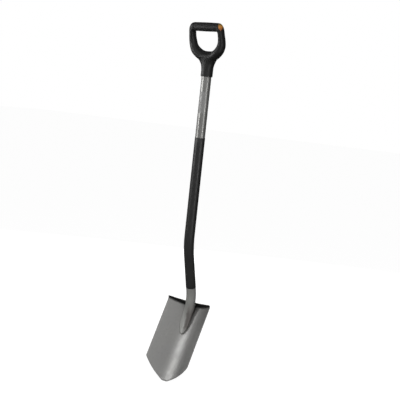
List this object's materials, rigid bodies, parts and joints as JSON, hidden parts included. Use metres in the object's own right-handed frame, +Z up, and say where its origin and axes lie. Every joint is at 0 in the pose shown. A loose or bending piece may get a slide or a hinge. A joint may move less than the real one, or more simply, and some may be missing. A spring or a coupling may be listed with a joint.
{
  "type": "garden spade",
  "caption": "Long pointed digging spade with a dished steel blade, folded foot treads, a cranked oval tube shaft with a dark sleeve, and a moulded D-handle with an orange corner insert.",
  "frame": {"origin": "middle of the flat strip at the blade's tip, halfway through the sheet", "axes": "+Z up along the straight upper shaft, -Y to the front (the hollow side of the blade), +X to the right seen from the front"},
  "size_m": [0.1832, 0.1286, 1.2505],
  "materials": {
    "blade_paint": "satin grey metallic paint with scuffs",
    "silver_lacquer": "satin silver lacquer",
    "black_sleeve": "fine-textured dark plastic coating",
    "label_film": "matt film",
    "black_plastic": "fine-grained moulded plastic",
    "soft_grip": "soft-touch matt",
    "orange_plastic": "satin moulded plastic",
    "screw_steel": "zinc plated",
    "weld_bead": "rippled weld under grey paint"
  },
  "bodies": {
    "root": {"blade": "blade_paint", "shaft_tube": "silver_lacquer", "shaft_sleeve": "black_sleeve", "shaft_label": "label_film", "handle_body": "black_plastic", "grip_cover": "soft_grip", "corner_inlay": "orange_plastic", "handle_screw_upper": "screw_steel", "handle_screw_lower": "screw_steel", "toe_weld": "weld_bead", "tread_weld_left": "weld_bead", "tread_weld_right": "weld_bead"}
  },
  "joints": []
}
